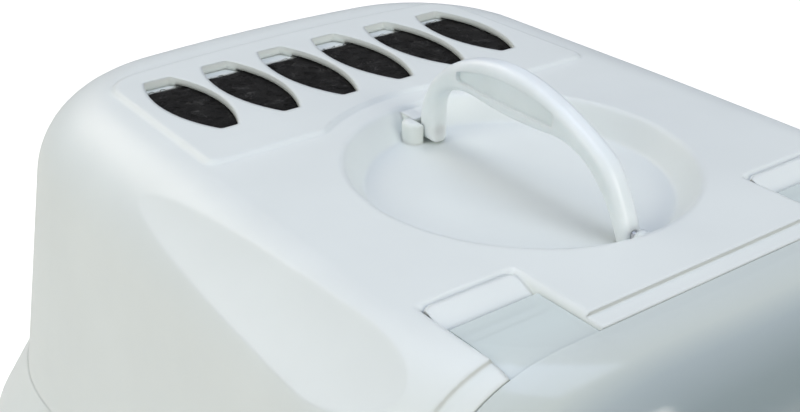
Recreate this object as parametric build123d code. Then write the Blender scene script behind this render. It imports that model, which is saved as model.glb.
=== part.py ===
"""Hooded cat litter box: tray, lift-off hood, tinted front visor with a swing flap, folding
carry handle, charcoal filter in a drop-down cradle, and two side latches.

Millimetres.  +Z is up, +Y points to the back of the box and +X to its right-hand side.
The origin is on the floor, under the middle of the box.
"""
import math
import os

from build123d import *

os.makedirs("parts", exist_ok=True)

# ---------------------------------------------------------------- plan of the hood
plan_level = 247.0            # height of the skirt's top, where the plan sizes are taken
front_half_width = 205.8
rear_half_width = 189.2
front_y = -251.0              # furthest forward, on the centre line
rear_y = 254.0                # furthest back, on the centre line
front_bow = 12.0              # how far the front edge falls back at its ends
rear_bow = 23.6
front_corner_radius = 138.0
rear_corner_radius = 124.0
wall_taper = 8.5              # degrees that the walls lean in

# ---------------------------------------------------------------- hood
roof_front_height = 417.0     # at the front border
roof_fall = 1.0               # degrees that the roof drops towards the back
shoulder_radius = 48.0
hood_wall = 3.0
skirt_foot = 208.0
skirt_flare = 22.0
hood_foot = 160.0
border_y = -166.0             # where the front border starts
split_y = -176.0              # where the hood ends and the visor begins
border_step = 1.5
seal_lip_length = 16.0
seal_lip_foot = 180.0
border_wall = 5.0
border_depth = 13.0
facet_angle = 39.0            # slope of the shoulder facet
facet_deepest_y = -40.0
facet_depth = 4.0
facet_scoop_radius = 150.0    # across the facet
facet_bow_radius = 5000.0     # along the facet
facet_lead = 0.012            # sideways run of the facet for its length

# vents
vent_count = 6
vent_pitch = 38.4
vent_front_y = 74.0
vent_wide_y = 120.0
vent_rear_y = 158.5
vent_rear_arc = 0.0005       # the row of rear ends follows this parabola
vent_half_width = 16.7
vent_front_half = 5.0
vent_rear_half = 8.0
vent_corner_radius = 2.5
vent_cut = 30.0               # reach of the slot cutter each way
plateau_rise = 2.0
plateau_front_y = 39.5
plateau_rear_y = 178.0
plateau_front_half = 128.5
plateau_rear_half = 123.5
plateau_rear_bow = 8.0
plateau_front_corner = 8.0
plateau_rear_corner = 25.0
plateau_inner_corner = 10.0
plateau_edge_slope = 50.0     # degrees from vertical
plateau_root = 2.5            # depth of its foot inside the roof
plateau_foot_level = 0.5      # depth at which the plan sizes are taken
plateau_dish_gap = 11.5       # ring of roof left between the dish and the plateau

# dish
dish_y = -43.5
dish_half_width = 87.0
dish_half_length = 90.0
dish_depth = 14.0
dish_wall = 4.0
dish_slope = 11.0             # how much smaller the floor is, all round
dish_floor_fillet = 2.5
dish_rim_fillet = 4.0

# ---------------------------------------------------------------- handle
handle_thickness = 12.4
handle_axis_depth = 7.4       # below the roof, over the middle of the dish
handle_edge_radius = 4.5
handle_recess_depth = 2.2
handle_recess_corner = 2.0
handle_pin_radius = 2.5
handle_pin_engagement = 10.0
handle_side_gap = 0.8
bearing_rise = 3.7            # top of the bearings above the handle's axis
bearing_drop = 12.3           # foot of the bearings below the handle's axis
bearing_length = 13.0
bearing_half_width = 9.0
front_boss_radius = 5.0
foot_well_reach = 16.0
cheek_left = 14.5
cheek_front = 7.0             # overlap of the stop cheek with the handle's rear foot
cheek_rear = 5.5
cheek_radius = 5.0
cheek_top_radius = 2.0

# ---------------------------------------------------------------- visor and its hinge
visor_step = 1.5              # visor skin below the hood skin
visor_wall = 2.5
visor_gap = 0.7
tab_inner_x = 77.0
tab_width = 47.0
tab_thickness = 3.0
tab_drop = 2.6                # tab top below the hood skin
tab_side_gap = 0.6
tab_root = 9.0
visor_axis_y = -144.5
knuckle_radius = 5.0
visor_pin_radius = 2.0
pocket_back_y = -123.0
pocket_wall = 7.0
pocket_ramp_drop = 5.0
pocket_block_depth = 16.8     # foot of the block below the visor's axis
pocket_rim_radius = 4.5
pocket_rim_ease = 0.06        # the rounding stops this much short of its tangent points

# entrance
entry_half_width = 98.0
entry_bottom = 186.0
entry_top = 340.0
entry_corner_radius = 62.0
entry_sill_radius = 18.0
collar_wall = 4.5
collar_proud = 3.0
collar_back_y = -216.0
flap_y = -226.0
flap_thickness = 3.0
flap_gap = 1.8
flap_top_gap = 4.0
flap_axis_rise = 6.0          # above the top of the entrance
flap_swing_room = 0.9         # clearance round the swinging flap
flap_rod_radius = 2.0
flap_barrel_radius = 4.5
flap_barrel_half_length = 30.0
flap_notch_gap = 1.5
flap_rod_half_length = 38.0
lintel_half_width = 68.0
lintel_depth = 20.0           # below the top of the entrance

# ---------------------------------------------------------------- filter
filter_thickness = 8.0
filter_front_y = 62.0
filter_rear_y = 149.5
filter_half_width = 116.0
filter_seat_depth = 1.4       # recess in the roof's underside
filter_top_gap = 0.4
filter_side_gap = 1.0
cradle_wall = 2.0
cradle_side_gap = 0.8
cradle_floor = 2.5
cradle_bar = 4.0
cradle_long_bars = 9
cradle_cross_bars = 3
cradle_top_gap = 0.6
cradle_flange = 8.0
cradle_axis_y = 166.0
cradle_axis_depth = 9.0
cradle_knuckle_radius = 4.0
cradle_knuckle_length = 14.0
cradle_knuckle_x = 92.0
cradle_lug = 4.0
cradle_lug_gap = 0.5
cradle_pin_radius = 1.5
cradle_tab_half_width = 14.0
cradle_tab_length = 9.0
snap_post_x = 60.0
snap_post_width = 16.0
snap_post_thickness = 2.4
snap_post_length = 9.5

# ---------------------------------------------------------------- tray
tray_wall = 3.0
tray_underside = 4.0
tray_floor = 3.5
tray_rim_rise = 12.0          # rim above the hood's foot
tray_taper = 8.0
tray_base_fillet = 14.0
rim_clearance = 0.8
ledge_thickness = 3.0
ledge_overhang = 1.5
foot_radius = 14.0
foot_height = 7.0
foot_boss_wall = 3.0
foot_boss_height = 4.0
foot_x = 135.0
foot_front_y = -165.0
foot_rear_y = 175.0

# ---------------------------------------------------------------- latches
latch_y = 10.0
latch_width = 44.0
latch_thickness = 3.0
latch_axis_drop = 10.0        # below the skirt
latch_axis_out = 5.5          # beyond the skirt
latch_foot_drop = 14.0        # below the hood's foot
latch_toe_height = 5.0
latch_pin_radius = 1.5
latch_barrel_radius = 4.0
latch_lug = 6.0
latch_lug_gap = 0.6
catch_width = 38.0
catch_in = 1.5                # catch face, inside the skirt's outer face
catch_gap = 0.6
catch_foot_drop = 15.0        # below the hood's foot
catch_height = 7.0

# ---------------------------------------------------------------- handle outline
# (y, height above the handle's axis)
handle_outer = [
    (31.0, -6.2),
    (31.0, 4.0),
    (22.0, 29.5),
    (-10.0, 50.6),
    (-56.0, 51.4),
    (-99.0, 34.5),
    (-108.0, 26.5),
    (-124.0, -6.2),
]
handle_inner = [
    (19.0, -6.2),
    (19.0, 13.0),
    (11.5, 25.8),
    (-12.0, 30.6),
    (-66.0, 30.8),
    (-100.2, 18.0),
    (-114.7, -6.2),
]
recess_top = [(1.0, 41.0), (-33.0, 47.4), (-69.5, 42.6)]
recess_bottom = [(-69.5, 36.2), (-34.0, 35.4), (1.0, 36.4)]

# running clearance of a pin in its knuckle
pin_clearance = 0.08

BIG = 800.0


def roof_z(y):
    """Height of the roof plane at y."""
    return roof_front_height - (y - split_y) * math.tan(math.radians(roof_fall))


# heights that follow from the sizes above
handle_axis_height = roof_z(dish_y) - handle_axis_depth
bearing_top = handle_axis_height + bearing_rise
bearing_foot = handle_axis_height - bearing_drop
visor_axis_height = roof_z(visor_axis_y) - tab_drop - knuckle_radius
flap_axis_height = entry_top + flap_axis_rise
tray_rim_height = hood_foot + tray_rim_rise
latch_axis_height = skirt_foot - latch_axis_drop
latch_foot = hood_foot - latch_foot_drop
catch_foot = hood_foot - catch_foot_drop


def roof_frame(drop=0.0):
    """Plane lying in the roof, its origin over the middle of the box."""
    fall = math.radians(roof_fall)
    return Plane(
        origin=(0, 0, roof_z(0) - drop),
        x_dir=(1, 0, 0),
        z_dir=(0, math.sin(fall), math.cos(fall)),
    )


def box(x0, x1, y0, y1, z0, z1):
    """Box between two corners."""
    return Pos((x0 + x1) / 2, (y0 + y1) / 2, (z0 + z1) / 2) * Box(x1 - x0, y1 - y0, z1 - z0)


def rod_x(x0, x1, y, z, radius):
    """Cylinder along X."""
    return Pos((x0 + x1) / 2, y, z) * (Rot(0, 90, 0) * Cylinder(radius, x1 - x0))


def rod_y(y0, y1, x, z, radius):
    """Cylinder along Y."""
    return Pos(x, (y0 + y1) / 2, z) * (Rot(90, 0, 0) * Cylinder(radius, y1 - y0))


def plan(grow=0.0):
    """Plan outline of the box at plan_level, grown by a distance."""
    front = front_half_width + grow
    rear = rear_half_width + grow
    near = front_y - grow
    far = rear_y + grow
    outline = [
        ThreePointArc((-front, near + front_bow), (0, near), (front, near + front_bow)),
        Line((front, near + front_bow), (rear, far - rear_bow)),
        ThreePointArc((rear, far - rear_bow), (0, far), (-rear, far - rear_bow)),
        Line((-rear, far - rear_bow), (-front, near + front_bow)),
    ]
    face = make_face(outline)
    corners = face.vertices().sort_by(Axis.Y)
    face = fillet(corners[:2], front_corner_radius + grow)
    corners = [v for v in face.vertices() if v.Y > far - rear_bow - 1]
    return fillet(corners, rear_corner_radius + grow)


def side_x(y, grow=0.0):
    """Half width of the plan at y, on its straight side."""
    run = (rear_y - rear_bow) - (front_y + front_bow)
    share = (y - front_y - front_bow) / run
    return front_half_width + share * (rear_half_width - front_half_width) + grow


def slab(grow, low, high):
    """Upright prism of the plan outline."""
    return extrude(Pos(0, 0, low) * plan(grow), high - low)


def dome(grow):
    """Walls, shoulder and roof above the skirt as one solid."""
    height = roof_front_height + 20 - plan_level
    body = extrude(Pos(0, 0, plan_level) * plan(grow), height, taper=wall_taper)
    body = split(body, bisect_by=roof_frame(-grow), keep=Keep.BOTTOM)
    rim = body.faces().sort_by(Axis.Z)[-1].edges()
    return fillet(rim, shoulder_radius + grow)


def skirt(grow):
    """Flared skirt and its upright foot, below the dome."""
    rise = plan_level - skirt_foot
    angle = math.degrees(math.atan(skirt_flare / rise))
    flare = extrude(Pos(0, 0, skirt_foot) * plan(grow + skirt_flare), rise, taper=angle)
    return flare + slab(grow + skirt_flare, hood_foot, skirt_foot)


def facet_scoops(grow):
    """Slim rings that scoop the two shoulder facets."""
    slope = math.radians(facet_angle)
    lean = math.radians(wall_taper)
    ball_z = roof_z(facet_deepest_y) - shoulder_radius
    ball_x = side_x(facet_deepest_y) - (ball_z - plan_level) * math.tan(lean)
    ball_x = ball_x - shoulder_radius / math.cos(lean)
    outward = Vector(math.sin(slope), 0, math.cos(slope))
    along = Vector(-facet_lead, 1, -math.tan(math.radians(roof_fall)))
    reach = shoulder_radius - facet_depth + facet_scoop_radius + facet_bow_radius
    centre = Vector(ball_x, facet_deepest_y, ball_z) + outward * reach
    place = Plane(origin=centre, x_dir=along, z_dir=along.cross(outward))
    ring = place.location * Torus(facet_bow_radius, facet_scoop_radius - grow)
    return [ring, ring.mirror(Plane.YZ)]


envelopes = {}


def envelope(grow):
    """The whole outside form of hood and visor, moved out by a distance."""
    if grow not in envelopes:
        whole = dome(grow) + skirt(grow)
        for scoop in facet_scoops(grow):
            whole = whole - scoop
        envelopes[grow] = whole
    return envelopes[grow]


def strip(grow, y0, y1, z0=0.0):
    """Part of an envelope between two stations along the box."""
    return envelope(grow) & box(-BIG, BIG, y0, y1, z0, BIG)


def both_sides(shape):
    """The shape and its mirror image across the middle."""
    return [shape, shape.mirror(Plane.YZ)]


def one_solid(shape):
    """The shape as a single solid."""
    solids = shape.solids()
    assert len(solids) == 1, len(solids)
    return solids[0]


# ================================================================ hood
skin = strip(0, border_y, BIG) + strip(-border_step, split_y, border_y + 0.01)
lip_drop = visor_step + visor_wall + visor_gap
skin = skin + strip(-lip_drop, split_y - seal_lip_length, split_y + 1, seal_lip_foot)

frame_back = split_y + border_depth
hollow = strip(-hood_wall, frame_back, BIG)
frame_drop = border_step + border_wall
hollow = hollow + strip(-frame_drop, -BIG, frame_back + 0.01, seal_lip_foot)
low_hollow = envelope(-border_step - visor_wall) & box(
    -BIG, BIG, -BIG, frame_back + 0.01, 0, seal_lip_foot
)
hood = skin - hollow - low_hollow

# ledge that stands on the tray's rim
rim_grow = skirt_flare - visor_step - visor_wall - rim_clearance
ledge = slab(skirt_flare - 1, tray_rim_height, tray_rim_height + ledge_thickness)
ledge = ledge - slab(rim_grow - tray_wall - ledge_overhang, 0, BIG)
ledge = ledge & box(-BIG, BIG, border_y, BIG, 0, BIG)
hood = hood + ledge

# raised vent field
front_left = (-plateau_front_half, plateau_front_y)
front_right = (plateau_front_half, plateau_front_y)
rear_left = (-plateau_rear_half, plateau_rear_y - plateau_rear_bow)
rear_right = (plateau_rear_half, plateau_rear_y - plateau_rear_bow)
field = make_face([
    Line(front_left, front_right),
    Line(front_right, rear_right),
    ThreePointArc(rear_right, (0, plateau_rear_y), rear_left),
    Line(rear_left, front_left),
])
field = field - Pos(0, dish_y) * Circle(dish_half_length + plateau_dish_gap)
corners = field.vertices()
front_corners = [v for v in corners if abs(v.X) > plateau_front_half - 1]
rear_corners = [v for v in corners if v.Y > plateau_front_y + 50]
inner_corners = [v for v in corners if abs(v.X) < plateau_front_half - 20 and v.Y < plateau_front_y + 5]
field = fillet(front_corners, plateau_front_corner)
rear_corners = [v for v in field.vertices() if v.distance_to(rear_corners[0]) < 0.01
                or v.distance_to(rear_corners[1]) < 0.01]
field = fillet(rear_corners, plateau_rear_corner)
inner_corners = [v for v in field.vertices() if v.distance_to(inner_corners[0]) < 0.01
                 or v.distance_to(inner_corners[1]) < 0.01]
field = fillet(inner_corners, plateau_inner_corner)
spread = (plateau_root - plateau_foot_level) * math.tan(math.radians(plateau_edge_slope))
plateau = extrude(offset(field, spread), plateau_rise + plateau_root, taper=plateau_edge_slope)
hood = hood + roof_frame(plateau_root).location * plateau

# vents
seat = Pos(0, (filter_front_y + filter_rear_y) / 2, -hood_wall) * Box(
    2 * (filter_half_width + filter_side_gap),
    filter_rear_y - filter_front_y + 2 * filter_side_gap,
    2 * filter_seat_depth,
)
hood = hood - roof_frame().location * seat
for i in range(vent_count):
    x = (i - (vent_count - 1) / 2) * vent_pitch
    rear = vent_rear_y - vent_rear_arc * x * x
    slot = make_face([
        Line((-vent_front_half, vent_front_y), (vent_front_half, vent_front_y)),
        ThreePointArc((vent_front_half, vent_front_y), (vent_half_width, vent_wide_y),
                      (vent_rear_half, rear)),
        Line((vent_rear_half, rear), (-vent_rear_half, rear)),
        ThreePointArc((-vent_rear_half, rear), (-vent_half_width, vent_wide_y),
                      (-vent_front_half, vent_front_y)),
    ])
    slot = fillet(slot.vertices(), vent_corner_radius)
    hood = hood - extrude(Pos(x, 0, roof_z(vent_wide_y)) * slot, vent_cut, both=True)

# round dish
def bowl(profile, rounds):
    """Bowl turned from an outline in the roof's frame, a little narrower than it is long."""
    face = make_face(Polyline(*[(r, 0, z) for r, z in profile], close=True))
    for index, radius in rounds:
        r, z = profile[index]
        corner = [v for v in face.vertices() if abs(v.X - r) < 0.01 and abs(v.Z - z) < 0.01]
        face = fillet(corner, radius)
    turned = revolve(face, Axis.Z)
    return roof_place * (Pos(0, dish_y, 0) * scale(turned, by=(dish_half_width / dish_half_length, 1, 1)))


roof_place = roof_frame().location
floor_radius = dish_half_length - dish_slope
basin = bowl([
    (0, -dish_depth),
    (floor_radius, -dish_depth),
    (dish_half_length, 0),
    (dish_half_length + dish_rim_fillet, 0),
    (dish_half_length + dish_rim_fillet, 12),
    (0, 12),
], [(1, dish_floor_fillet), (2, dish_rim_fillet)])
under = bowl([
    (0, -dish_depth - dish_wall),
    (floor_radius + dish_wall / 2, -dish_depth - dish_wall),
    (dish_half_length + dish_wall, -1),
    (0, -1),
], [(1, dish_floor_fillet + dish_wall)])
hood = hood + under

# bearings of the handle: a block with a stop cheek at the back, a round boss at the front
rear_foot_back = handle_outer[0][0] + handle_side_gap
rear_foot_front = handle_inner[0][0] - handle_side_gap
front_foot_front = handle_outer[-1][0] - handle_side_gap
front_foot_back = handle_inner[-1][0] + handle_side_gap
foot_half = handle_thickness / 2
foot_floor = handle_axis_height + handle_outer[0][1] - handle_side_gap
cheek_right = -foot_half - handle_side_gap
rear_block = box(cheek_right - 1, bearing_half_width, rear_foot_back, rear_foot_back + bearing_length,
                 bearing_foot, bearing_top)
cheek = box(-cheek_left, cheek_right, rear_foot_back - cheek_front, rear_foot_back + cheek_rear,
            bearing_foot, bearing_top)
cheek = fillet(cheek.edges().filter_by(Axis.Z).sort_by(Axis.X)[:2], cheek_radius)
cheek = fillet(cheek.faces().sort_by(Axis.Z)[-1].edges(), cheek_top_radius)
front_boss = rod_y(front_foot_front - bearing_length, front_foot_front, 0, handle_axis_height,
                   front_boss_radius)
front_web = box(-front_boss_radius, front_boss_radius, front_foot_front - bearing_length,
                front_foot_front, bearing_foot, handle_axis_height)
hood = hood - basin
hood = hood + rear_block + cheek + front_boss + front_web
well = box(-foot_half - handle_side_gap, foot_well_reach, front_foot_front, front_foot_back,
           foot_floor, BIG)
hood = hood - well
rear_well = box(-foot_half - handle_side_gap, foot_well_reach, rear_foot_front, rear_foot_back,
                foot_floor, BIG)
hood = hood - rear_well

# front of the roof: two pockets, each with a ramp and a solid block for the hinge pin
pocket_x0 = tab_inner_x - tab_side_gap
pocket_x1 = tab_inner_x + tab_width + tab_side_gap
pocket_back = visor_axis_y + math.sqrt(2) * knuckle_radius + tab_side_gap
pocket_block_foot = visor_axis_height - pocket_block_depth
block = box(pocket_x0 - pocket_wall, pocket_x1 + pocket_wall, split_y,
            pocket_back_y + pocket_wall, pocket_block_foot, BIG) & strip(-border_step, split_y, 0)
ramp_z = roof_z(pocket_back_y)
ramp = Polyline(
    (0, pocket_back_y, ramp_z),
    (0, pocket_back, ramp_z - pocket_ramp_drop),
    (0, pocket_back, visor_axis_height - knuckle_radius - tab_side_gap),
    (0, split_y - seal_lip_length - 2, visor_axis_height - knuckle_radius - tab_side_gap),
    (0, split_y - seal_lip_length - 2, ramp_z + 20),
    (0, pocket_back_y, ramp_z + 20),
    close=True,
)
ramp = Pos(pocket_x0, 0, 0) * extrude(make_face(ramp), pocket_x1 - pocket_x0, dir=(1, 0, 0))
pin_hole = rod_x(pocket_x0 - pocket_wall + 2, pocket_x1 + pocket_wall - 2, visor_axis_y,
                 visor_axis_height, visor_pin_radius)
for side in both_sides(block):
    hood = hood + side
for side in both_sides(ramp):
    hood = hood - side

# rounded rim of each pocket, worked in the roof's frame
rim_centre = pocket_rim_radius - pocket_rim_ease
rim = Pos(rim_centre / 2, 0) * Rectangle(rim_centre, 2 * rim_centre)
rim = Plane.XZ * (rim - Pos(rim_centre, -rim_centre) * Circle(pocket_rim_radius))
rim_run = pocket_back_y - split_y + seal_lip_length
inner_rim = Pos(pocket_x1, pocket_back_y, 0) * extrude(rim, rim_run, dir=(0, -1, 0))
outer_rim = Pos(pocket_x0, pocket_back_y, 0) * extrude(rim.mirror(Plane.YZ), rim_run, dir=(0, -1, 0))
back_rim = extrude(Rot(0, 0, 90) * rim, pocket_x1 - pocket_x0, dir=(1, 0, 0))
back_rim = Pos(pocket_x0, pocket_back_y, 0) * back_rim
corner_rim = revolve(rim, Axis.Z)
rims = inner_rim + outer_rim + back_rim
rims = rims + Pos(pocket_x0, pocket_back_y, 0) * corner_rim
rims = rims + Pos(pocket_x1, pocket_back_y, 0) * corner_rim
for side in both_sides(roof_place * rims):
    hood = hood - side
for side in both_sides(pin_hole):
    hood = hood - side

# bores for the handle's pins
rear_pin_y0 = rear_foot_back - handle_side_gap - handle_pin_engagement
rear_pin_y1 = rear_foot_back + bearing_length - 1
front_pin_y0 = front_foot_front - bearing_length + 1
front_pin_y1 = front_foot_front + handle_side_gap + handle_pin_engagement
rear_pin = rod_y(rear_pin_y0, rear_pin_y1, 0, handle_axis_height, handle_pin_radius)
front_pin = rod_y(front_pin_y0, front_pin_y1, 0, handle_axis_height, handle_pin_radius)
hood = hood - rear_pin - front_pin

# lugs for the cradle, and the posts that its front wall slides between
knuckle_x0 = cradle_knuckle_x - cradle_knuckle_length / 2
knuckle_x1 = cradle_knuckle_x + cradle_knuckle_length / 2
cradle_lugs = []
for x0, x1 in [(knuckle_x0 - cradle_lug_gap - cradle_lug, knuckle_x0 - cradle_lug_gap),
               (knuckle_x1 + cradle_lug_gap, knuckle_x1 + cradle_lug_gap + cradle_lug)]:
    lug = box(x0, x1, cradle_axis_y - cradle_knuckle_radius, cradle_axis_y + cradle_knuckle_radius,
              -cradle_axis_depth, -hood_wall + 1)
    lug = lug + rod_x(x0, x1, cradle_axis_y, -cradle_axis_depth, cradle_knuckle_radius)
    cradle_lugs.append(lug)
cradle_pin = rod_x(knuckle_x0 - cradle_lug_gap - cradle_lug, knuckle_x1 + cradle_lug_gap + cradle_lug,
                   cradle_axis_y, -cradle_axis_depth, cradle_pin_radius)
cradle_front = filter_front_y - cradle_side_gap - cradle_wall
cradle_rear = filter_rear_y + cradle_side_gap + cradle_wall
post = box(snap_post_x - snap_post_width / 2, snap_post_x + snap_post_width / 2,
           cradle_front - cradle_side_gap - snap_post_thickness, cradle_front - cradle_side_gap,
           -hood_wall - snap_post_length, -hood_wall + 1)
for lug in cradle_lugs:
    for side in both_sides(lug):
        hood = hood + roof_place * side
for side in both_sides(post):
    hood = hood + roof_place * side
for side in both_sides(cradle_pin):
    hood = hood - roof_place * side

# lugs for the latches
latch_x = side_x(latch_y, skirt_flare) + latch_axis_out
lug_y = latch_width / 2 + latch_lug_gap
latch_lugs = []
for y0, y1 in [(latch_y - lug_y - latch_lug, latch_y - lug_y),
               (latch_y + lug_y, latch_y + lug_y + latch_lug)]:
    lug = box(latch_x - latch_axis_out - 2, latch_x, y0, y1, latch_axis_height - latch_barrel_radius,
              latch_axis_height + latch_barrel_radius)
    lug = lug + rod_y(y0, y1, latch_x, latch_axis_height, latch_barrel_radius)
    latch_lugs.append(lug)
latch_pin = rod_y(latch_y - lug_y - latch_lug, latch_y + lug_y + latch_lug, latch_x,
                  latch_axis_height, latch_pin_radius)
for lug in latch_lugs:
    for side in both_sides(lug):
        hood = hood + side
for side in both_sides(latch_pin):
    hood = hood - side
hood = one_solid(hood)

# ================================================================ visor
visor_rear = split_y - visor_gap
visor = strip(-visor_step, -BIG, visor_rear)
inner_drop = visor_step + visor_wall
visor = visor - strip(-inner_drop, -BIG, visor_rear + 1) - box(-BIG, BIG, -BIG, BIG, 0, hood_foot)
tab_x1 = tab_inner_x + tab_width
tab = box(tab_inner_x, tab_x1, visor_rear - tab_root, visor_axis_y + knuckle_radius,
          visor_axis_height - knuckle_radius + tab_side_gap, BIG)
tab = tab & (envelope(-tab_drop) - envelope(-tab_drop - tab_thickness))
knuckle = rod_x(tab_inner_x, tab_x1, visor_axis_y, visor_axis_height, knuckle_radius)
tab = tab + knuckle
tab = tab - rod_x(tab_inner_x - 1, tab_x1 + 1, visor_axis_y, visor_axis_height,
                  visor_pin_radius + pin_clearance)
for side in both_sides(tab):
    visor = visor + side

# entrance with its collar
def arch(grow):
    """Outline of the entrance, as a face looking along Y."""
    width = 2 * (entry_half_width + grow)
    height = entry_top - entry_bottom + 2 * grow
    face = Rectangle(width, height)
    corners = face.vertices().sort_by(Axis.Y)
    face = fillet(corners[2:], entry_corner_radius + grow)
    corners = face.vertices().sort_by(Axis.Y)
    face = fillet(corners[:2], entry_sill_radius + grow)
    return face


def arch_block(grow, y0, y1):
    """Prism of the entrance outline between two stations."""
    place = Plane(origin=(0, y1, (entry_top + entry_bottom) / 2), x_dir=(1, 0, 0), z_dir=(0, -1, 0))
    return extrude(place.location * arch(grow), y1 - y0)


collar_high = flap_axis_height + flap_barrel_radius + flap_notch_gap + collar_wall
collar_outline = arch_block(collar_wall, -BIG, collar_back_y)
lintel = box(-lintel_half_width, lintel_half_width, -BIG, collar_back_y,
             entry_top - lintel_depth, collar_high)
lintel = fillet(lintel.edges().filter_by(Axis.Y).group_by(Axis.Z)[-1], 9)
collar = (collar_outline + lintel) & strip(collar_proud, -BIG, collar_back_y)
visor = visor + collar
visor = visor - arch_block(0, -BIG, 0)
notch_half = flap_barrel_half_length + 1
notch = box(-notch_half, notch_half, -BIG, 0, entry_top - 5,
            flap_axis_height + flap_barrel_radius + flap_notch_gap)
visor = visor - notch

# room for the flap to swing
room_grow = flap_swing_room - flap_gap
room_top = (entry_top - entry_bottom) / 2 - flap_top_gap + flap_swing_room
room = arch(room_grow) & Pos(0, room_top - BIG / 2) * Rectangle(BIG, BIG)
room_centre = (0, flap_y, (entry_top + entry_bottom) / 2)
room_place = Plane(origin=room_centre, x_dir=(1, 0, 0), z_dir=(0, -1, 0))
room = room_place.location * room
flap_axis = Axis((0, flap_y, flap_axis_height), (1, 0, 0))
visor = visor - revolve(room.rotate(flap_axis, -90), flap_axis, 180)
flap_rod = rod_x(-flap_rod_half_length, flap_rod_half_length, flap_y, flap_axis_height,
                 flap_rod_radius)
visor = visor - flap_rod
visor = one_solid(visor)

# ================================================================ flap
plate = arch_block(-flap_gap, flap_y - flap_thickness / 2, flap_y + flap_thickness / 2)
plate = plate & box(-BIG, BIG, -BIG, BIG, 0, entry_top - flap_top_gap)
neck = box(-flap_barrel_half_length, flap_barrel_half_length, flap_y - flap_thickness / 2,
           flap_y + flap_thickness / 2, entry_top - 2 * flap_top_gap, flap_axis_height)
barrel = rod_x(-flap_barrel_half_length, flap_barrel_half_length, flap_y, flap_axis_height,
               flap_barrel_radius)
flap = plate + neck + barrel
flap = flap - rod_x(-BIG, BIG, flap_y, flap_axis_height, flap_rod_radius + pin_clearance)
flap = one_solid(flap)

# ================================================================ handle
def arc_chain(points):
    """Smooth run of arcs through points of the handle's outline; the first piece is straight."""
    places = [(0, y, handle_axis_height + h) for y, h in points]
    pieces = [Line(places[0], places[1])]
    for start, end in zip(places[1:], places[2:]):
        pieces.append(TangentArc(start, end, tangent=pieces[-1] % 1))
    return pieces


outer_run = arc_chain(handle_outer)
inner_run = arc_chain(handle_inner)
outline = outer_run + inner_run + [
    Line(outer_run[0] @ 0, inner_run[0] @ 0),
    Line(outer_run[-1] @ 1, inner_run[-1] @ 1),
]
handle = extrude(make_face(outline), handle_thickness, dir=(1, 0, 0))
handle = Pos(-handle_thickness / 2, 0, 0) * handle
handle = fillet([e for e in handle.edges() if abs(e.center().X) > 1], handle_edge_radius)
top = [(0, y, handle_axis_height + h) for y, h in recess_top]
bottom = [(0, y, handle_axis_height + h) for y, h in recess_bottom]
lens = make_face([
    ThreePointArc(*top),
    Line(top[2], bottom[0]),
    ThreePointArc(*bottom),
    Line(bottom[2], top[0]),
])
lens = fillet(lens.vertices(), handle_recess_corner)
lens = extrude(lens, 10, dir=(1, 0, 0))
cut = handle_thickness / 2 - handle_recess_depth
handle = handle - Pos(cut, 0, 0) * lens - Pos(-cut - 10, 0, 0) * lens
for pin in (rear_pin, front_pin):
    place = pin.center()
    span = pin.bounding_box()
    handle = handle - rod_y(span.min.Y - 0.5, span.max.Y + 0.5, place.X, place.Z,
                            handle_pin_radius + pin_clearance)
handle = one_solid(handle)

# ================================================================ filter and cradle
filter_top = -hood_wall + filter_seat_depth - filter_top_gap
filter_low = filter_top - filter_thickness
pad = box(-filter_half_width, filter_half_width, filter_front_y, filter_rear_y, filter_low, filter_top)
pad = fillet(pad.edges().filter_by(Axis.Z), 3)
pad = roof_place * pad

cradle_side = filter_half_width + cradle_side_gap + cradle_wall
cradle_foot = filter_low - cradle_floor
cradle = box(-cradle_side, cradle_side, cradle_front, cradle_rear, cradle_foot,
             -hood_wall - cradle_top_gap)
cradle = fillet(cradle.edges().filter_by(Axis.Z), 4)
inner_side = filter_half_width + cradle_side_gap
cradle = cradle - box(-inner_side, inner_side, filter_front_y - cradle_side_gap,
                      filter_rear_y + cradle_side_gap, filter_low, BIG)
rail = 6.0
open_x = 2 * (inner_side - rail)
open_y = (filter_rear_y - filter_front_y) - 2 * rail
cell_x = (open_x - (cradle_long_bars - 1) * cradle_bar) / cradle_long_bars
cell_y = (open_y - (cradle_cross_bars - 1) * cradle_bar) / cradle_cross_bars
for i in range(cradle_long_bars):
    for j in range(cradle_cross_bars):
        x0 = -inner_side + rail + i * (cell_x + cradle_bar)
        y0 = filter_front_y + rail + j * (cell_y + cradle_bar)
        cradle = cradle - box(x0, x0 + cell_x, y0, y0 + cell_y, cradle_foot - 1, filter_low + 1)
cradle = cradle + box(-cradle_side + 10, cradle_side - 10, cradle_rear - 1,
                      cradle_rear + cradle_flange, cradle_foot, filter_low)
pull = box(-cradle_tab_half_width, cradle_tab_half_width, cradle_front - cradle_tab_length,
           cradle_front + 1, cradle_foot, filter_low)
pull = fillet(pull.edges().filter_by(Axis.Z).group_by(Axis.Y)[0], 4)
cradle = cradle + pull
for x in (cradle_knuckle_x, -cradle_knuckle_x):
    x0 = x - cradle_knuckle_length / 2
    x1 = x + cradle_knuckle_length / 2
    cradle = cradle + box(x0, x1, cradle_rear - 1, cradle_axis_y, cradle_foot, filter_low)
    cradle = cradle + rod_x(x0, x1, cradle_axis_y, -cradle_axis_depth, cradle_knuckle_radius)
    cradle = cradle - rod_x(x0 - 1, x1 + 1, cradle_axis_y, -cradle_axis_depth,
                            cradle_pin_radius + pin_clearance)
cradle = one_solid(roof_place * cradle)

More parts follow.
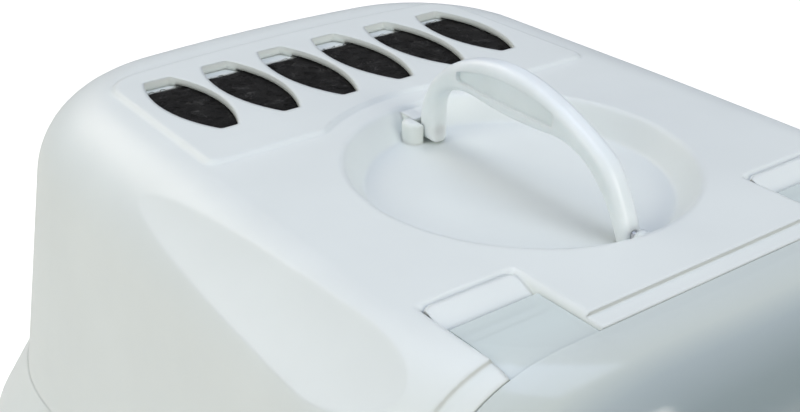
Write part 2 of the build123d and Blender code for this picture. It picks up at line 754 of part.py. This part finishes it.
# ================================================================ tray
tray = extrude(Pos(0, 0, tray_rim_height) * plan(rim_grow), tray_rim_height - tray_underside,
               dir=(0, 0, -1), taper=tray_taper)
tray = fillet(tray.edges().group_by(Axis.Z)[0], tray_base_fillet)
hole = extrude(Pos(0, 0, tray_rim_height) * plan(rim_grow - tray_wall),
               tray_rim_height - tray_underside - tray_floor, dir=(0, 0, -1), taper=tray_taper)
hole = fillet(hole.edges().group_by(Axis.Z)[0], tray_base_fillet - tray_wall)
tray = tray - hole
feet = {}
for name, x, y in [("foot_front_left", -foot_x, foot_front_y), ("foot_front_right", foot_x, foot_front_y),
                   ("foot_rear_left", -foot_x, foot_rear_y), ("foot_rear_right", foot_x, foot_rear_y)]:
    boss_top = tray_underside + tray_floor + foot_boss_height
    tray = tray + Pos(x, y, (tray_underside + boss_top) / 2) * Cylinder(
        foot_radius + foot_boss_wall, boss_top - tray_underside)
    foot = Pos(x, y, foot_height / 2) * Cylinder(foot_radius, foot_height)
    tray = tray - foot
    feet[name] = fillet(foot.edges().group_by(Axis.Z)[0], 1.5)
catch_x = side_x(latch_y, skirt_flare) - catch_in
catch = box(catch_x - 14, catch_x, latch_y - catch_width / 2, latch_y + catch_width / 2,
            catch_foot, catch_foot + catch_height) - hole
for side in both_sides(catch):
    tray = tray + side
tray = one_solid(tray)

# ================================================================ latches
latch_plate_x = latch_x - 1
latch = rod_y(latch_y - latch_width / 2, latch_y + latch_width / 2, latch_x, latch_axis_height,
              latch_barrel_radius)
latch = latch + box(latch_plate_x, latch_plate_x + latch_thickness, latch_y - latch_width / 2,
                    latch_y + latch_width / 2, latch_foot, latch_axis_height)
latch = latch + box(catch_x + catch_gap, latch_plate_x + 1, latch_y - latch_width / 2,
                    latch_y + latch_width / 2, latch_foot, latch_foot + latch_toe_height)
latch = latch - rod_y(-BIG, BIG, latch_x, latch_axis_height, latch_pin_radius + pin_clearance)
latch = one_solid(latch)

# ================================================================ export
right_latch, left_latch = both_sides(latch)
right_latch_pin, left_latch_pin = both_sides(latch_pin)
visor_pin = pin_hole
right_visor_pin, left_visor_pin = both_sides(visor_pin)
right_cradle_pin, left_cradle_pin = both_sides(cradle_pin)

parts = {
    "base_tray": tray,
    "hood_shell": hood,
    "front_visor": visor,
    "entry_flap": flap,
    "flap_hinge_rod": flap_rod,
    "carry_handle": handle,
    "handle_pin_rear": rear_pin,
    "handle_pin_front": front_pin,
    "carbon_filter": pad,
    "filter_cradle": cradle,
    "cradle_pin_left": roof_place * left_cradle_pin,
    "cradle_pin_right": roof_place * right_cradle_pin,
    "visor_pin_left": left_visor_pin,
    "visor_pin_right": right_visor_pin,
    "latch_left": left_latch,
    "latch_right": right_latch,
    "latch_pin_left": left_latch_pin,
    "latch_pin_right": right_latch_pin,
}
parts.update(feet)
for name, shape in parts.items():
    export_step(one_solid(shape), f"parts/{name}.step")
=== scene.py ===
"""Hooded litter box: camera, light, materials and the charcoal pad, dressed round the CAD frame."""
import math
import random

import bpy
import bmesh
from mathutils import Matrix, Vector, noise


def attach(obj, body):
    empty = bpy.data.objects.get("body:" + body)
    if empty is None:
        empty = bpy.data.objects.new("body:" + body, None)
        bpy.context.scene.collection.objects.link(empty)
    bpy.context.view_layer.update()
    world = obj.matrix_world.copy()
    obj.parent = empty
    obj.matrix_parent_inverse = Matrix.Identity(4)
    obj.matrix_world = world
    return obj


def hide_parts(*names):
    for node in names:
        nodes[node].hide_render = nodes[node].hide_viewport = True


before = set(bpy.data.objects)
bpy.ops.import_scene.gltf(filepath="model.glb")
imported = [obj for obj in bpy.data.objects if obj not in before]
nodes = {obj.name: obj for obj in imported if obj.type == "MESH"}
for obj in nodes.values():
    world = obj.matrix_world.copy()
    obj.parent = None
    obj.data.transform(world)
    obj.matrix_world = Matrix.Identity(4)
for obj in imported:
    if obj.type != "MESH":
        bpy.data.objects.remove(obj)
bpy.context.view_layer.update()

# ---------------------------------------------------------------- camera
CAM_PLACE = (-0.40708, -0.470, 0.700)
CAM_RIGHT = Vector((0.7946, -0.60688, 0.0174))
CAM_DOWN = Vector((-0.27301, -0.38277, -0.88258))
CAM_FORWARD = Vector((0.54229, 0.69655, -0.46983))
FOCAL_PIXELS = 1317.2
PICTURE_WIDTH = 800.0
SENSOR = 36.0
CLIP_NEAR = 0.01
CLIP_FAR = 50.0

camera_data = bpy.data.cameras.new("camera")
camera = bpy.data.objects.new("camera", camera_data)
bpy.context.scene.collection.objects.link(camera)
turn = Matrix((CAM_RIGHT, -CAM_DOWN, -CAM_FORWARD)).transposed().to_4x4()
camera.matrix_world = Matrix.Translation(CAM_PLACE) @ turn
camera_data.sensor_width = SENSOR
camera_data.lens = FOCAL_PIXELS / PICTURE_WIDTH * SENSOR
camera_data.clip_start = CLIP_NEAR
camera_data.clip_end = CLIP_FAR
bpy.context.scene.camera = camera
bpy.context.scene.view_settings.view_transform = "Standard"


# ---------------------------------------------------------------- node helpers
def new_material(name):
    """A node material with its Principled shader."""
    material = bpy.data.materials.new(name)
    material.use_nodes = True
    tree = material.node_tree
    shader = next(n for n in tree.nodes if n.type == "BSDF_PRINCIPLED")
    return material, tree, shader


def add_noise(tree, scale, detail=2.0, rough=0.5, stretch=(1, 1, 1)):
    """Noise over the object's own coordinates; scale is in features per metre."""
    coords = tree.nodes.new("ShaderNodeTexCoord")
    mapping = tree.nodes.new("ShaderNodeMapping")
    mapping.inputs["Scale"].default_value = stretch
    texture = tree.nodes.new("ShaderNodeTexNoise")
    texture.inputs["Scale"].default_value = scale
    texture.inputs["Detail"].default_value = detail
    texture.inputs["Roughness"].default_value = rough
    tree.links.new(coords.outputs["Object"], mapping.inputs["Vector"])
    tree.links.new(mapping.outputs["Vector"], texture.inputs["Vector"])
    return texture.outputs["Fac"]


def add_ramp(tree, source, stops):
    """Colour ramp from a grey value."""
    ramp = tree.nodes.new("ShaderNodeValToRGB")
    ramp.color_ramp.elements[0].position = stops[0][0]
    ramp.color_ramp.elements[0].color = (*stops[0][1], 1)
    ramp.color_ramp.elements[1].position = stops[-1][0]
    ramp.color_ramp.elements[1].color = (*stops[-1][1], 1)
    for place, colour in stops[1:-1]:
        ramp.color_ramp.elements.new(place).color = (*colour, 1)
    tree.links.new(source, ramp.inputs["Fac"])
    return ramp.outputs["Color"]


def add_range(tree, source, low, high):
    """Grey value moved into a range."""
    spread = tree.nodes.new("ShaderNodeMapRange")
    spread.inputs["To Min"].default_value = low
    spread.inputs["To Max"].default_value = high
    tree.links.new(source, spread.inputs["Value"])
    return spread.outputs["Result"]


def add_bump(tree, shader, height, distance, strength=1.0):
    """Bump from a grey value; distance in metres."""
    bump = tree.nodes.new("ShaderNodeBump")
    bump.inputs["Distance"].default_value = distance
    bump.inputs["Strength"].default_value = strength
    tree.links.new(height, bump.inputs["Height"])
    tree.links.new(bump.outputs["Normal"], shader.inputs["Normal"])
    return bump


def soften_edges(tree, bump, radius):
    """Rounds the moulded edges in shading, under the grain."""
    soft = tree.nodes.new("ShaderNodeBevel")
    soft.samples = 6
    soft.inputs["Radius"].default_value = radius
    tree.links.new(soft.outputs["Normal"], bump.inputs["Normal"])


def shade(colour, factor):
    """Colour scaled in brightness."""
    return tuple(min(1.0, c * factor) for c in colour)


def moulded(name, colour, rough, grain=0.00006, cloud=0.02, specular=0.45, edge_radius=0.0):
    """Moulded plastic: faint cloudy colour, a fine spark-eroded grain, soft edges, uneven gloss."""
    material, tree, shader = new_material(name)
    clouds = add_noise(tree, 14.0, 3.0)
    tone = add_ramp(tree, clouds, [(0.3, shade(colour, 1 - cloud)), (0.7, shade(colour, 1 + cloud))])
    tree.links.new(tone, shader.inputs["Base Color"])
    patches = add_noise(tree, 60.0, 4.0)
    tree.links.new(add_range(tree, patches, rough - 0.05, rough + 0.06), shader.inputs["Roughness"])
    shader.inputs["Specular IOR Level"].default_value = specular
    fine = add_noise(tree, 1500.0, 2.0)
    bump = add_bump(tree, shader, fine, grain, 0.35)
    if edge_radius:
        soften_edges(tree, bump, edge_radius)
    return material


HOOD_COLOUR = (0.715, 0.760, 0.735)
hood_plastic = moulded("hood_plastic", HOOD_COLOUR, 0.42, edge_radius=0.0034)
tray_plastic = moulded("tray_plastic", (0.68, 0.72, 0.70), 0.45)
cradle_plastic = moulded("cradle_plastic", (0.66, 0.70, 0.68), 0.5)
latch_plastic = moulded("latch_plastic", (0.64, 0.68, 0.665), 0.4)


def milky_plastic():
    """Handle: milky, slightly see-through, glossy outside."""
    material, tree, shader = new_material("handle_plastic")
    clouds = add_noise(tree, 40.0, 3.0)
    tone = add_ramp(tree, clouds, [(0.3, (0.73, 0.785, 0.785)), (0.7, (0.78, 0.835, 0.835))])
    tree.links.new(tone, shader.inputs["Base Color"])
    patches = add_noise(tree, 120.0, 3.0)
    tree.links.new(add_range(tree, patches, 0.34, 0.46), shader.inputs["Roughness"])
    shader.inputs["Subsurface Weight"].default_value = 0.6
    shader.inputs["Subsurface Radius"].default_value = (1.0, 1.05, 1.05)
    shader.inputs["Subsurface Scale"].default_value = 0.010
    shader.inputs["Specular IOR Level"].default_value = 0.5
    shader.inputs["Coat Weight"].default_value = 0.08
    shader.inputs["Coat Roughness"].default_value = 0.25
    fine = add_noise(tree, 500.0, 2.0)
    soften_edges(tree, add_bump(tree, shader, fine, 0.00004, 0.3), 0.0016)
    return material


def tinted_sheet(name, colour, alpha, rough):
    """Smoked clear plastic seen as one thin sheet, with faint flow marks."""
    material, tree, shader = new_material(name)
    clouds = add_noise(tree, 9.0, 2.0)
    tone = add_ramp(tree, clouds, [(0.3, shade(colour, 0.96)), (0.7, shade(colour, 1.04))])
    tree.links.new(tone, shader.inputs["Base Color"])
    shader.inputs["Alpha"].default_value = alpha
    patches = add_noise(tree, 30.0, 3.0)
    tree.links.new(add_range(tree, patches, rough - 0.03, rough + 0.05), shader.inputs["Roughness"])
    shader.inputs["Specular IOR Level"].default_value = 0.6
    flow = add_noise(tree, 22.0, 2.0, stretch=(1, 3, 1))
    add_bump(tree, shader, flow, 0.0004, 0.25)
    return material, tree, shader


def add_math(tree, operation, *operands):
    """Arithmetic on grey values; each operand is a socket or a number."""
    step = tree.nodes.new("ShaderNodeMath")
    step.operation = operation
    for operand, socket in zip(operands, step.inputs):
        if isinstance(operand, float):
            socket.default_value = operand
        else:
            tree.links.new(operand, socket)
    return step.outputs["Value"]


def shaded_visor_sheet(alpha):
    """Visor: tinted sheet, milky grey along the split with the hood and darker over the brow and down
    the sides. The darkening is painted shade standing for the dim hood interior seen through the sheet.
    """
    material, tree, shader = tinted_sheet("smoked_plastic", (0.3, 0.3, 0.3), alpha, 0.12)
    coords = tree.nodes.new("ShaderNodeTexCoord")
    parts = tree.nodes.new("ShaderNodeSeparateXYZ")
    tree.links.new(coords.outputs["Object"], parts.inputs["Vector"])
    squared = add_math(tree, "MULTIPLY", parts.outputs["X"], parts.outputs["X"])
    bow = add_math(tree, "MULTIPLY", squared, -VISOR_SHADE_BOW)
    depth = add_math(tree, "ADD", parts.outputs["Y"], bow)
    back = add_math(tree, "MULTIPLY_ADD", depth, 1 / VISOR_SHADE_LENGTH, -VISOR_SHADE_FRONT / VISOR_SHADE_LENGTH)
    height = add_math(tree, "MULTIPLY_ADD", parts.outputs["Z"], 1 / VISOR_SHADE_HEIGHT,
                      -VISOR_SHADE_FOOT / VISOR_SHADE_HEIGHT)
    fade = add_math(tree, "MINIMUM", back, height)
    wisps = add_math(tree, "MULTIPLY", add_noise(tree, 9.0, 2.0), VISOR_WISPS)
    place = add_math(tree, "ADD", fade, wisps)
    tone = add_ramp(tree, place, VISOR_SHADE_STOPS)
    tree.links.new(tone, shader.inputs["Base Color"])
    return material


def steel():
    """Drawn steel wire with fine lengthwise scratches."""
    material, tree, shader = new_material("pin_steel")
    lines = add_noise(tree, 900.0, 3.0, stretch=(0.05, 1, 1))
    tone = add_ramp(tree, lines, [(0.3, (0.52, 0.53, 0.55)), (0.7, (0.68, 0.69, 0.71))])
    tree.links.new(tone, shader.inputs["Base Color"])
    shader.inputs["Metallic"].default_value = 1.0
    tree.links.new(add_range(tree, lines, 0.25, 0.4), shader.inputs["Roughness"])
    add_bump(tree, shader, lines, 0.00003, 0.4)
    return material


def rubber():
    """Foot rubber with fine pitting and dusty patches."""
    material, tree, shader = new_material("foot_rubber")
    dust = add_noise(tree, 90.0, 4.0)
    tone = add_ramp(tree, dust, [(0.35, (0.035, 0.036, 0.04)), (0.75, (0.075, 0.077, 0.08))])
    tree.links.new(tone, shader.inputs["Base Color"])
    tree.links.new(add_range(tree, dust, 0.6, 0.85), shader.inputs["Roughness"])
    pits = add_noise(tree, 1200.0, 2.0)
    add_bump(tree, shader, pits, 0.0001, 0.5)
    return material


def charcoal(name, low, high):
    """Charcoal felt: near-black matted fibre with paler flecks."""
    material, tree, shader = new_material(name)
    flecks = add_noise(tree, 620.0, 6.0, 0.75)
    patches = add_noise(tree, 110.0, 3.0)
    both = add_math(tree, "MULTIPLY", flecks, patches)
    tone = add_ramp(tree, both, [(0.12, low), (0.3, shade(low, 2.2)), (0.5, high)])
    tree.links.new(tone, shader.inputs["Base Color"])
    shader.inputs["Roughness"].default_value = 0.95
    shader.inputs["Specular IOR Level"].default_value = 0.06
    shader.inputs["Sheen Weight"].default_value = 0.04
    add_bump(tree, shader, flecks, 0.0008, 0.9)
    return material


handle_plastic = milky_plastic()
VISOR_SHADE_FRONT = -0.245          # where the painted shade is deepest, on the centre line
VISOR_SHADE_LENGTH = 0.095          # from there to the milky end
VISOR_SHADE_BOW = 0.3               # the fade bows back with the brow, by this much times x squared
VISOR_SHADE_FOOT = 0.345            # height at which the sides are all painted shade
VISOR_SHADE_HEIGHT = 0.045
VISOR_WISPS = 0.06
# Visor ramp: dark stops are painted shade of the hood interior behind the sheet; pale stops are the
# milky tint along the split.
VISOR_SHADE_STOPS = [(0.10, (0.29, 0.365, 0.395)), (0.28, (0.345, 0.415, 0.43)), (0.42, (0.47, 0.54, 0.55)),
               (0.53, (0.65, 0.71, 0.67)), (0.68, (0.70, 0.765, 0.74)), (0.9, (0.75, 0.835, 0.81))]
# Visor material: real tint of the sheet plus painted shade for the dark interior behind it.
smoked_plastic = shaded_visor_sheet(0.72)
flap_plastic = tinted_sheet("flap_plastic", (0.30, 0.36, 0.40), 0.36, 0.14)[0]
pin_steel = steel()
foot_rubber = rubber()
felt = charcoal("charcoal_felt", (0.005, 0.005, 0.005), (0.085, 0.085, 0.08))
fibre = charcoal("charcoal_fibre", (0.010, 0.010, 0.010), (0.16, 0.155, 0.145))

finishes = {
    "hood_shell": hood_plastic,
    "base_tray": tray_plastic,
    "filter_cradle": cradle_plastic,
    "latch_left": latch_plastic,
    "latch_right": latch_plastic,
    "carry_handle": handle_plastic,
    "front_visor": smoked_plastic,
    "entry_flap": flap_plastic,
}


def finish_of(name):
    """Material of a CAD node."""
    if name in finishes:
        return finishes[name]
    return foot_rubber if name.startswith("foot") else pin_steel


for name, node in nodes.items():
    if not node.material_slots:
        node.data.materials.append(finish_of(name))
    for place in node.material_slots:
        place.material = finish_of(name)

# ---------------------------------------------------------------- charcoal pad
ROOF_FALL = math.radians(1.0)
ROOF_HEIGHT = 0.413928        # at the middle of the box
ROOF_PLACE = Matrix.Translation((0, 0, ROOF_HEIGHT)) @ Matrix.Rotation(-ROOF_FALL, 4, "X")
PAD_HALF = 0.116
PAD_FRONT = 0.062
PAD_REAR = 0.1495
PAD_TOP = -0.0020
PAD_LOW = -0.0100
PAD_STEP = 0.0022
PAD_SKIN = 0.0008             # mean depth of the lumpy top under PAD_TOP
LUMP_DENSITY = 160
LUMP_HEIGHT = 0.0011
EDGE_SAG = 0.0015
RAGGED_ENDS = 0.0035
RAGGED_SIDES = 0.002
FIBRES = 1100
FIBRE_RINGS = 7
FIBRE_SIDES = 3
FIBRE_ARCH = 0.0011
FIBRE_TAPER = 0.45            # radius of the two ends against the middle
LIP_HALF = 0.112
LIP_FRONT = 0.1503
LIP_REAR = 0.1604
LIP_TOP = -0.0033
LIP_THICK = 0.0022


def pad_mesh():
    """Matted pad: a lumpy top over a flat underside, with ragged edges."""
    columns = round(2 * PAD_HALF / PAD_STEP)
    rows = round((PAD_REAR - PAD_FRONT) / PAD_STEP)
    mesh = bmesh.new()
    sheets = []
    for top in (True, False):
        sheet = []
        for j in range(rows + 1):
            line = []
            for i in range(columns + 1):
                x = -PAD_HALF + 2 * PAD_HALF * i / columns
                y = PAD_FRONT + (PAD_REAR - PAD_FRONT) * j / rows
                spot = Vector((x, y, 0)) * LUMP_DENSITY
                if j in (0, rows):
                    ragged = abs(noise.noise(spot * 0.8)) * RAGGED_ENDS
                    y = y + ragged if j == 0 else y - ragged
                if i in (0, columns):
                    ragged = abs(noise.noise(spot * 0.8)) * RAGGED_SIDES
                    x = x + ragged if i == 0 else x - ragged
                if top:
                    lump = 0.6 * noise.noise(spot * 0.6) + 0.4 * noise.noise(spot * 2.3)
                    z = PAD_TOP - PAD_SKIN + LUMP_HEIGHT * lump
                    if i in (0, columns) or j in (0, rows):
                        z = z - EDGE_SAG
                else:
                    z = PAD_LOW
                line.append(mesh.verts.new(ROOF_PLACE @ Vector((x, y, z))))
            sheet.append(line)
        sheets.append(sheet)
    upper, lower = sheets
    for j in range(rows):
        for i in range(columns):
            mesh.faces.new((upper[j][i], upper[j][i + 1], upper[j + 1][i + 1], upper[j + 1][i]))
            mesh.faces.new((lower[j][i], lower[j + 1][i], lower[j + 1][i + 1], lower[j][i + 1]))
    for i in range(columns):
        mesh.faces.new((lower[0][i], lower[0][i + 1], upper[0][i + 1], upper[0][i]))
        mesh.faces.new((lower[rows][i + 1], lower[rows][i], upper[rows][i], upper[rows][i + 1]))
    for j in range(rows):
        mesh.faces.new((lower[j + 1][0], lower[j][0], upper[j][0], upper[j + 1][0]))
        mesh.faces.new((lower[j][columns], lower[j + 1][columns], upper[j + 1][columns],
                        upper[j][columns]))
    data = bpy.data.meshes.new("charcoal_pad")
    mesh.to_mesh(data)
    mesh.free()
    data.polygons.foreach_set("use_smooth", [True] * len(data.polygons))
    return data


def fibre_mesh():
    """Loose curled fibres lying on the pad."""
    draw = random.Random(11)
    mesh = bmesh.new()
    for _ in range(FIBRES):
        place = Vector((draw.uniform(-PAD_HALF + 0.004, PAD_HALF - 0.004),
                        draw.uniform(PAD_FRONT + 0.003, PAD_REAR - 0.002), PAD_TOP - 0.0012))
        heading = draw.uniform(0, 2 * math.pi)
        curl = draw.uniform(-0.7, 0.7)
        step = draw.uniform(0.0009, 0.0017)
        radius = draw.uniform(0.00010, 0.00019)
        rings = []
        for k in range(FIBRE_RINGS):
            rise = math.sin(math.pi * k / (FIBRE_RINGS - 1)) * FIBRE_ARCH
            centre = place + Vector((0, 0, rise))
            along = Vector((math.cos(heading), math.sin(heading), 0))
            across = Vector((-along.y, along.x, 0))
            width = radius * (FIBRE_TAPER if k in (0, FIBRE_RINGS - 1) else 1.0)
            ring = []
            for a in range(FIBRE_SIDES):
                angle = 2 * math.pi * a / FIBRE_SIDES
                offset = across * math.cos(angle) * width + Vector((0, 0, math.sin(angle) * width))
                ring.append(mesh.verts.new(ROOF_PLACE @ (centre + offset)))
            rings.append(ring)
            place = place + along * step
            place.y = min(place.y, PAD_REAR - 0.0008)
            heading += curl + draw.uniform(-0.35, 0.35)
        for low, high in zip(rings, rings[1:]):
            for a in range(FIBRE_SIDES):
                b = (a + 1) % FIBRE_SIDES
                mesh.faces.new((low[a], low[b], high[b], high[a]))
        mesh.faces.new(rings[0][::-1])
        mesh.faces.new(rings[-1])
    bmesh.ops.recalc_face_normals(mesh, faces=mesh.faces)
    data = bpy.data.meshes.new("charcoal_fibres")
    mesh.to_mesh(data)
    mesh.free()
    return data


def lip_mesh():
    """Lip along the top of the cradle's rear wall, which closes the slots behind the pad."""
    mesh = bmesh.new()
    bmesh.ops.create_cube(mesh, size=1.0)
    size = Vector((2 * LIP_HALF, LIP_REAR - LIP_FRONT, LIP_THICK))
    middle = Vector((0, (LIP_REAR + LIP_FRONT) / 2, LIP_TOP - LIP_THICK / 2))
    for vert in mesh.verts:
        vert.co = Vector((vert.co.x * size.x, vert.co.y * size.y, vert.co.z * size.z)) + middle
    bmesh.ops.bevel(mesh, geom=mesh.edges[:], offset=0.0006, segments=2, affect="EDGES")
    mesh.transform(ROOF_PLACE)
    data = bpy.data.meshes.new("cradle_lip")
    mesh.to_mesh(data)
    mesh.free()
    return data


def add_piece(name, data, material):
    """New object that rides on the cradle."""
    piece = bpy.data.objects.new(name, data)
    bpy.context.scene.collection.objects.link(piece)
    data.materials.append(material)
    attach(piece, "cradle")
    return piece


pad = add_piece("charcoal_pad", pad_mesh(), felt)
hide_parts("carbon_filter")
add_piece("charcoal_fibres", fibre_mesh(), fibre)
add_piece("cradle_lip", lip_mesh(), cradle_plastic)

# ---------------------------------------------------------------- floor, light and world
FLOOR_HALF = 6.0
FLOOR_GLOW = 0.55             # seen by the camera only
floor_data = bpy.data.meshes.new("floor")
floor_data.from_pydata(
    [(-FLOOR_HALF, -FLOOR_HALF, 0), (FLOOR_HALF, -FLOOR_HALF, 0),
     (FLOOR_HALF, FLOOR_HALF, 0), (-FLOOR_HALF, FLOOR_HALF, 0)], [], [(0, 1, 2, 3)])
floor = bpy.data.objects.new("floor", floor_data)
bpy.context.scene.collection.objects.link(floor)
floor_material, floor_tree, floor_shader = new_material("floor")
floor_shader.inputs["Base Color"].default_value = (0.86, 0.85, 0.82, 1)
floor_shader.inputs["Roughness"].default_value = 0.7
floor_shader.inputs["Emission Color"].default_value = (1, 1, 1, 1)
rays = floor_tree.nodes.new("ShaderNodeLightPath")
glow = add_range(floor_tree, rays.outputs["Is Camera Ray"], 0.0, FLOOR_GLOW)
floor_tree.links.new(glow, floor_shader.inputs["Emission Strength"])
floor_data.materials.append(floor_material)

world = bpy.data.worlds.new("world")
bpy.context.scene.world = world
world.use_nodes = True
tree = world.node_tree
background = next(n for n in tree.nodes if n.type == "BACKGROUND")
seen = tree.nodes.new("ShaderNodeLightPath")
clear_ray = add_math(tree, "MAXIMUM", seen.outputs["Is Camera Ray"], seen.outputs["Is Transmission Ray"])
heading = tree.nodes.new("ShaderNodeTexCoord")
parts = tree.nodes.new("ShaderNodeSeparateXYZ")
tree.links.new(heading.outputs["Generated"], parts.inputs["Vector"])
sky = add_ramp(tree, parts.outputs["Z"], [(0.2, (0.03, 0.03, 0.03)), (0.7, (0.43, 0.44, 0.505))])
plain = tree.nodes.new("ShaderNodeMix")
plain.data_type = "RGBA"
colours = [socket for socket in plain.inputs if socket.type == "RGBA"]
colours[1].default_value = (1, 1, 1, 1)
tree.links.new(clear_ray, plain.inputs[0])
tree.links.new(sky, colours[0])
mixed = next(socket for socket in plain.outputs if socket.type == "RGBA")
tree.links.new(mixed, background.inputs["Color"])
background.inputs["Strength"].default_value = 1.0


def softbox(name, place, target, size, power, colour):
    """Square area lamp aimed at a point."""
    data = bpy.data.lights.new(name, "AREA")
    data.shape = "RECTANGLE"
    data.size, data.size_y = size
    data.energy = power
    data.color = colour
    lamp = bpy.data.objects.new(name, data)
    bpy.context.scene.collection.objects.link(lamp)
    lamp.location = place
    aim = Vector(target) - Vector(place)
    lamp.rotation_euler = aim.to_track_quat("-Z", "Y").to_euler()
    return lamp


# name, place, target, size in metres, power in watts, colour
LAMPS = [
    ("overhead", (0.15, 0.1, 2.1), (0, 0, 0.35), (1.1, 1.1), 9.7, (0.64, 0.74, 1.0)),
    ("left_side", (-2.0, 0.1, 1.2), (0, 0, 0.3), (1.2, 1.2), 18.2, (0.985, 0.985, 0.92)),
    ("front", (0.4, -2.0, 1.2), (0, 0, 0.3), (1.2, 1.2), 24.5, (1.0, 0.975, 0.90)),
    ("rear", (-0.3, 2.0, 1.8), (0, 0, 0.35), (1.2, 1.2), 16.0, (1.0, 0.91, 0.76)),
]
for lamp_facts in LAMPS:
    softbox(*lamp_facts)
